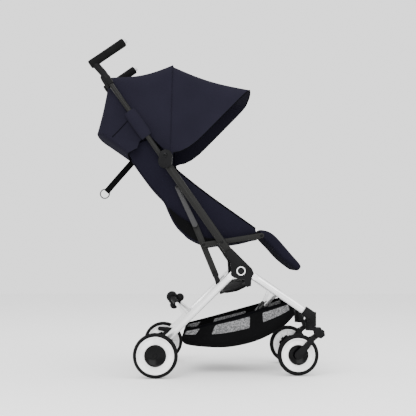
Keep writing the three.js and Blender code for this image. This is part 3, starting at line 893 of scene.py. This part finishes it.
def seat():
    """Backrest pad, which reclines, and the fixed base pad."""
    back = pad("seat_back_pad", BACK_LINE, half=146, thickness=20, channels=4, roll=4)
    finish_piece(back, "seat", "seat_back", "fabric", "seat_back")
    narrows(back)
    base = pad("seat_base_pad", SEAT_LINE, half=150, thickness=26, channels=2, roll=5)
    finish_piece(base, "seat", "frame_right", "fabric", "seat_base")
    narrows(base)


LEG_REST_UNDER = side_line((170, 420), (186, 402), (203, 384), (228, 356))
LEG_REST_UNDER += side_line((250, 337), (270, 322), (283, 314))
LEG_REST_TOP = side_line((160, 445), (180, 443), (197, 438), (214, 426))
LEG_REST_TOP += side_line((236, 402), (264, 369), (299, 330))
LEG_REST_HALF = 140


def leg_rest():
    """Rolled front pad that drops from the seat's front edge, padded on both faces."""
    steps = 30
    sides = 36
    rows = []
    for i in range(steps + 1):
        part = i / steps
        low, high = line_point(LEG_REST_UNDER, part), line_point(LEG_REST_TOP, part)
        middle = lerp(low, high, 0.5)
        half_height = (high - low) / 2
        ends = math.sqrt(max(0.0, 1 - abs(2 * part - 1) ** 16))
        ring = []
        for k in range(sides):
            angle = 2 * math.pi * k / sides
            wide = math.copysign(abs(math.cos(angle)) ** 0.22, math.cos(angle))
            tall = math.copysign(abs(math.sin(angle)) ** 0.6, math.sin(angle))
            flat = middle + half_height * tall * (0.45 + 0.55 * ends)
            ring.append(place(flat, LEG_REST_HALF * wide * (0.97 + 0.03 * ends)))
        rows.append(ring)
    body = grid("leg_rest_pad", rows, closed_rows=True)
    capped(body)
    modified(body, "SUBSURF", levels=1, render_levels=1)
    smooth(body, math.radians(70))
    finish_piece(body, "seat", "leg_rest", "fabric", "leg_rest")
    narrows(body)


def webbing(name, points, half, thickness, body, normal_up):
    """A flat strap through points, as wide as twice half, with rounded edges."""
    sides = 12
    rows = []
    for i, point in enumerate(points):
        before = points[max(i - 1, 0)]
        after = points[min(i + 1, len(points) - 1)]
        run = (after - before).normalized()
        side = run.cross(normal_up).normalized()
        rise = side.cross(run)
        ring = []
        for k in range(sides):
            angle = 2 * math.pi * k / sides
            wide = math.copysign(abs(math.cos(angle)) ** 0.3, math.cos(angle))
            across = side * (half * wide * MM)
            ring.append(point + across + rise * (thickness * math.sin(angle) / 2 * MM))
        rows.append(ring)
    strap = grid(name, rows, closed_rows=True)
    capped(strap)
    smooth(strap, math.radians(60))
    return finish_piece(strap, "webbing", body, "fabric")


STRAP_TOP = Vector((-247, 661))
STRAP_END = Vector((-320, 577))
STRAP_RUN = (STRAP_END - STRAP_TOP).normalized()
LOOP_CENTRE = STRAP_END + STRAP_RUN * 4


def at_loop(depth, side):
    """A point at the strap's end, at a depth along the strap and to one side of its middle line."""
    return place(LOOP_CENTRE + STRAP_RUN * depth + Vector((STRAP_RUN.y, -STRAP_RUN.x)) * side, 0)


def recline_strap():
    """Webbing on the backrest's rear, flat face to the side, with the chrome ring in its end loop."""
    steps = 14
    points = []
    for i in range(steps + 1):
        part = i / steps
        sag = Vector((-2.4, -2)) * math.sin(math.pi * part)
        top = STRAP_TOP + Vector((5, 6))
        points.append(place(lerp(top, STRAP_END, part) + sag, 0.8 * math.sin(5 * part)))
    strap = webbing("recline_strap_web", points, 10, 2.4, "seat_back", Vector((0, 1, 0)))
    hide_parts("recline_strap")
    loop_stations = [(-10, 3.6), (-9.4, 4.8), (0, 4.9), (9.4, 4.8), (10, 3.6)]
    middle = [(at_loop(0, side), radius) for side, radius in loop_stations]
    stations = [(Vector((point.x, point.z)) / MM, radius) for point, radius in middle]
    loop = rounded_rod("recline_strap_loop", stations, 0, 0.7)
    finish_piece(loop, "webbing", "seat_back", "fabric")
    wire = []
    count = 48
    for k in range(count):
        angle = 2 * math.pi * k / count
        wire.append(at_loop(max(12.5 - 15 * math.cos(angle), 0), 14.5 * math.sin(angle)))
    ring = tube_along("d_ring_wire", wire, 2.0 * MM, 12, closed=True, up=Vector((0, 1, 0)))
    finish_piece(ring, "chrome", "d_ring", "chrome", "d_ring")


SHOULDER_OFFSET = 52
BUCKLE_OFFSET = 20  # where the straps enter the buckle, from the middle plane
BUCKLE_CENTRE = Vector((12, 464))
BUCKLE_HALF = 27
BUCKLE_PROFILE = [(0, 3), (0.05, 9), (0.2, 13), (0.5, 14.5), (0.8, 13), (0.95, 9), (1, 3)]
BUCKLE_BUTTON_PROFILE = [(0, 10), (0.7, 9.6), (0.95, 8), (1, 5)]


def harness():
    """Padded shoulder straps, hip straps and a crotch strap, meeting in a buckle on the seat."""
    for side, sign in SIDES.items():
        shoulder = []
        for i in range(9):
            part = i / 8
            back = line_point(BACK_LINE, 0.16 + 0.62 * part)
            offset = lerp(SHOULDER_OFFSET, BUCKLE_OFFSET, part)
            shoulder.append(place(back + FRONT_NORMAL * (24 + 14 * part), sign * offset))
        facing = Vector((0.8, 0, 0.58))
        narrows(webbing(f"harness_shoulder_{side}", shoulder, 12, 4, "seat_back", facing))
        narrows(webbing(f"harness_pad_{side}", shoulder[1:6], 19, 11, "seat_back", facing))
        hip = []
        for i in range(7):
            part = i / 6
            flat = Vector((-8 + 18 * i / 6, 436 + 26 * part**2))
            hip.append(place(flat, sign * lerp(142, BUCKLE_OFFSET, part)))
        narrows(webbing(f"harness_hip_{side}", hip, 11, 3, "frame_right", Vector((0, 0, 1))))
    middle = [place(Vector((60 - 48 * i / 5, 430 + 34 * (i / 5) ** 1.4)), 0) for i in range(6)]
    narrows(webbing("harness_crotch", middle, 13, 3.2, "frame_right", Vector((0.3, 0, 0.95))))
    right, left = place(BUCKLE_CENTRE, -BUCKLE_HALF), place(BUCKLE_CENTRE, BUCKLE_HALF)
    buckle = spindle("harness_buckle", right, left, BUCKLE_PROFILE, 1.35)
    finish_piece(buckle, "plastic", "frame_right", "plastic")
    back = place(BUCKLE_CENTRE + Vector((8, 1)), 0)
    front = place(BUCKLE_CENTRE + Vector((17, 2)), 0)
    button = spindle("harness_buckle_button", back, front, BUCKLE_BUTTON_PROFILE)
    finish_piece(button, "gloss", "frame_right", "plastic")


# ---------- basket ----------

BASKET_RIM = side_line((-66, 134), (20, 156), (104, 179), (180, 200), (260, 222))
BASKET_FLOOR = side_line((-78, 106), (-62, 88), (0, 80), (60, 79))
BASKET_FLOOR += side_line((121, 89), (175, 107), (236, 141), (274, 180))
BASKET_HALF = 148
BASKET_FLOOR_HALF = 98
BASKET_RIM_RADIUS = 3.4
# Mesh windows: start and end along the side, low and high up it, all as shares.
BASKET_WINDOWS = ((0.03, 0.16, 0.58, 0.9), (0.28, 0.6, 0.52, 0.9), (0.72, 0.95, 0.56, 0.9))
# Section of the side from the rim down: share of the height, distance inwards.
BASKET_SECTION = ((1, 0), (0.8, 1.5), (0.6, 2), (0.4, 1), (0.24, 1), (0.1, 8), (0.02, 22), (0, 50))


def basket_side_point(part, level, offset):
    """A point on the basket's side: a share of its length, and a share of its height."""
    return place(lerp(line_point(BASKET_FLOOR, part), line_point(BASKET_RIM, part), level), offset)


def basket_shell():
    """The bag in one piece, from rim to rim, sagging between its sides."""
    steps = 40
    rows = []
    for i in range(steps + 1):
        part = i / steps
        droop = 3 * math.sin(math.pi * part)
        wrinkle = 0.8 * math.sin(23 * part)
        row = []
        for level, inset in BASKET_SECTION:
            row.append(basket_side_point(part, level, -BASKET_HALF + inset + wrinkle * level))
        for k in range(1, 8):
            offset = BASKET_FLOOR_HALF * (2 * k / 8 - 1)
            sag = droop * (1 - (offset / BASKET_FLOOR_HALF) ** 2)
            row.append(place(line_point(BASKET_FLOOR, part) - Vector((0, sag)), offset))
        for level, inset in reversed(BASKET_SECTION):
            row.append(basket_side_point(part, level, BASKET_HALF - inset))
        rows.append(row)
    return rows


def basket():
    """Sagging black fabric basket with mesh windows in its sides and a bound rim."""
    rows = basket_shell()
    shell = sheet_body(grid("basket_body", rows), 1.8 * MM)
    finish_piece(shell, "webbing", "rear_leg_right", "mesh", "basket")
    narrows(shell)
    for side, sign in SIDES.items():
        for index, (start, end, low, high) in enumerate(BASKET_WINDOWS):
            offset = sign * (BASKET_HALF - 0.8)
            levels = [lerp(low, high, k / 5) for k in range(6)]
            panel_rows = []
            for i in range(13):
                part = lerp(start, end, i / 12)
                panel_rows.append([basket_side_point(part, level, offset) for level in levels])
            window = sheet_body(grid(f"basket_window_{side}_{index}", panel_rows), 6 * MM)
            narrows(finish_piece(window, "mesh", "rear_leg_right", "mesh"))
        rim_points = [row[0 if sign < 0 else -1] for row in rows]
        radius = BASKET_RIM_RADIUS * MM
        edge = tube_along(f"basket_rim_{side}", rim_points, radius, 8, up=Vector((0, 1, 0)))
        narrows(finish_piece(edge, "piping", "rear_leg_right", "mesh"))
    for name, part in (("back", 0), ("front", 1)):
        wall_rows = []
        for level in (0, 0.2, 0.4, 0.6, 0.8, 1):
            half = BASKET_HALF - 14 * (1 - level) ** 2
            offsets = [half * (2 * k / 12 - 1) for k in range(13)]
            wall_rows.append([basket_side_point(part, level, offset) for offset in offsets])
        wall = sheet_body(grid(f"basket_{name}_wall", wall_rows), 1.6 * MM)
        narrows(finish_piece(wall, "webbing", "rear_leg_right", "mesh"))
        edge = tube_along(f"basket_{name}_rim", wall_rows[-1], BASKET_RIM_RADIUS * MM, 8)
        narrows(finish_piece(edge, "piping", "rear_leg_right", "mesh"))


# ---------- crossbar shells and knuckles ----------

UNDER_PIVOT = Vector((126, 280))
UNDER_CENTRE = Vector((50.3, 254.2))
REAR_CENTRE = Vector((-112, 232))
FRONT_CENTRE = Vector((171.6, 184.3))
REAR_SIDE = Vector((-56, 175))
FRONT_SIDE = Vector((216.8, 250.2))
CROSSBARS = (("rear", REAR_SIDE, REAR_CENTRE), ("front", FRONT_SIDE, FRONT_CENTRE))
KNUCKLES = (("rear", REAR_CENTRE, 17), ("front", FRONT_CENTRE, 12), ("under", UNDER_CENTRE, 11))
# (share of the length, radius)
UNDER_SHELL_PROFILE = [(0, 3), (0.02, 6), (0.15, 9), (0.45, 12.5), (0.8, 11), (0.97, 8), (1, 4)]
BAR_SLEEVE_PROFILE = [(0.66, 6), (0.67, 8.4), (0.75, 9), (0.96, 9.6), (0.99, 7)]
# Lobes of the rear hub: start and end (side-view shift from the hub's centre, offset), profile.
REAR_HUB_LOBES = (
    ("boss", (26, -3), -14, (26, -3), 24, [(0, 9), (0.05, 12.5), (0.5, 13.5), (0.95, 12.5), (1, 9)]),
    ("neck", (-2, -4), 0, (22, -28), 0, [(0, 10), (0.1, 15), (0.6, 16), (0.92, 14), (1, 8)]),
    ("latch", (7, -27), -20, (7, -27), 20, [(0, 8), (0.05, 12), (0.5, 13.5), (0.95, 12), (1, 8)]),
)


def spindle(name, start, end, profile, tall=1.0):
    """A smooth round bar between two points; the profile holds (share of the length, radius)."""
    run = (end - start).normalized()
    side = run.cross(Vector((0, 0, 1))).normalized()
    rise = side.cross(run)
    sides = 20
    rows = []
    for share, radius in profile:
        centre = lerp(start, end, share)
        ring = []
        for k in range(sides):
            angle = 2 * math.pi * k / sides
            spoke = side * math.cos(angle) + rise * tall * math.sin(angle)
            ring.append(centre + spoke * radius * MM)
        rows.append(ring)
    return smooth(capped(grid(name, rows, closed_rows=True)), math.radians(50))


def crossbar_shells():
    """Plastic shells on the half crossbars, and the rounded knuckles and lobes of their hubs."""
    for side, sign in SIDES.items():
        start, end = place(UNDER_PIVOT, sign * 168), place(UNDER_CENTRE, sign * 30)
        shell = spindle(f"under_bar_shell_{side}", start, end, UNDER_SHELL_PROFILE, 1.35)
        finish_piece(shell, "plastic", f"under_bar_{side}", "plastic")
        for name, pivot, centre in CROSSBARS:
            outer, inner = place(pivot, sign * 176.5), place(centre, sign * 16)
            sleeve = spindle(f"{name}_bar_sleeve_{side}", outer, inner, BAR_SLEEVE_PROFILE)
            finish_piece(sleeve, "plastic", f"{name}_bar_{side}", "plastic")
    for name, centre, radius in KNUCKLES:
        rounded, flat = radius - 1, radius - 4
        profile = [(0, flat), (0.06, rounded), (0.5, radius), (0.94, rounded), (1, flat)]
        for side, sign in SIDES.items():
            start, end = place(centre, sign * 6), place(centre, sign * 26)
            knuckle = spindle(f"{name}_knuckle_{side}", start, end, profile)
            finish_piece(knuckle, "plastic", f"{name}_hub", "plastic")
    for name, start, start_offset, end, end_offset, profile in REAR_HUB_LOBES:
        first = place(REAR_CENTRE + Vector(start), start_offset)
        last = place(REAR_CENTRE + Vector(end), end_offset)
        lobe = spindle(f"rear_hub_{name}", first, last, profile)
        finish_piece(lobe, "plastic", "rear_hub", "plastic")


# ---------- studio ----------

SENSOR_WIDTH = 36
FOCAL_SHARE = 890 / 416  # focal length as a share of the picture's width
CAMERA_PLACE = (0.005, -2.892, 0.3558)
CAMERA_TILT = math.atan2(50, 890)  # upwards
WORLD_STRENGTH = 1.7
# Area lights: name, place, power and size, all aimed at the middle of the stroller.
LIGHTS = (
    ("key", (-1.2, -2.4, 2.6), 70, 1.8),
    ("fill", (2.2, -1.6, 1.8), 30, 1.6),
    ("top", (0.0, 0.3, 3.2), 45, 2.4),
    ("front", (0.3, -3.6, 1.2), 34, 1.6),
)


def camera():
    data = bpy.data.cameras.new("camera")
    data.sensor_width = SENSOR_WIDTH
    data.lens = FOCAL_SHARE * SENSOR_WIDTH
    obj = bpy.data.objects.new("camera", data)
    obj.location = CAMERA_PLACE
    obj.rotation_euler = (math.pi / 2 + CAMERA_TILT, 0, 0)
    bpy.context.scene.collection.objects.link(obj)
    bpy.context.scene.camera = obj


def studio():
    """Pale floor, even white surroundings and four soft lights."""
    floor = new_object("floor", [(-6, -6, 0), (6, -6, 0), (6, 6, 0), (-6, 6, 0)], [(0, 1, 2, 3)])
    paint = Paint("floor_paint", (0.92, 0.92, 0.92), 0.7)
    paint.vary_roughness(0.6, 0.75, paint.noise(3))
    floor.data.materials.append(paint.material)
    world = bpy.data.worlds.new("studio")
    bpy.context.scene.world = world
    world.use_nodes = True
    background = world.node_tree.nodes["Background"]
    background.inputs["Color"].default_value = (1, 1, 1, 1)
    background.inputs["Strength"].default_value = WORLD_STRENGTH
    for name, location, power, size in LIGHTS:
        data = bpy.data.lights.new(name, "AREA")
        data.energy = power
        data.size = size
        lamp = bpy.data.objects.new(name, data)
        lamp.location = location
        aim = Vector((0, 0, 0.45)) - Vector(location)
        lamp.rotation_euler = aim.to_track_quat("-Z", "Y").to_euler()
        bpy.context.scene.collection.objects.link(lamp)


camera()
studio()
hard_parts()
wheels()
grips()
hub_covers()
rivets()
canopy()
canopy_sleeves()
seat()
backrest_head()
wings()
seat_hems()
gussets()
leg_rest()
recline_strap()
harness()
basket()
crossbar_shells()
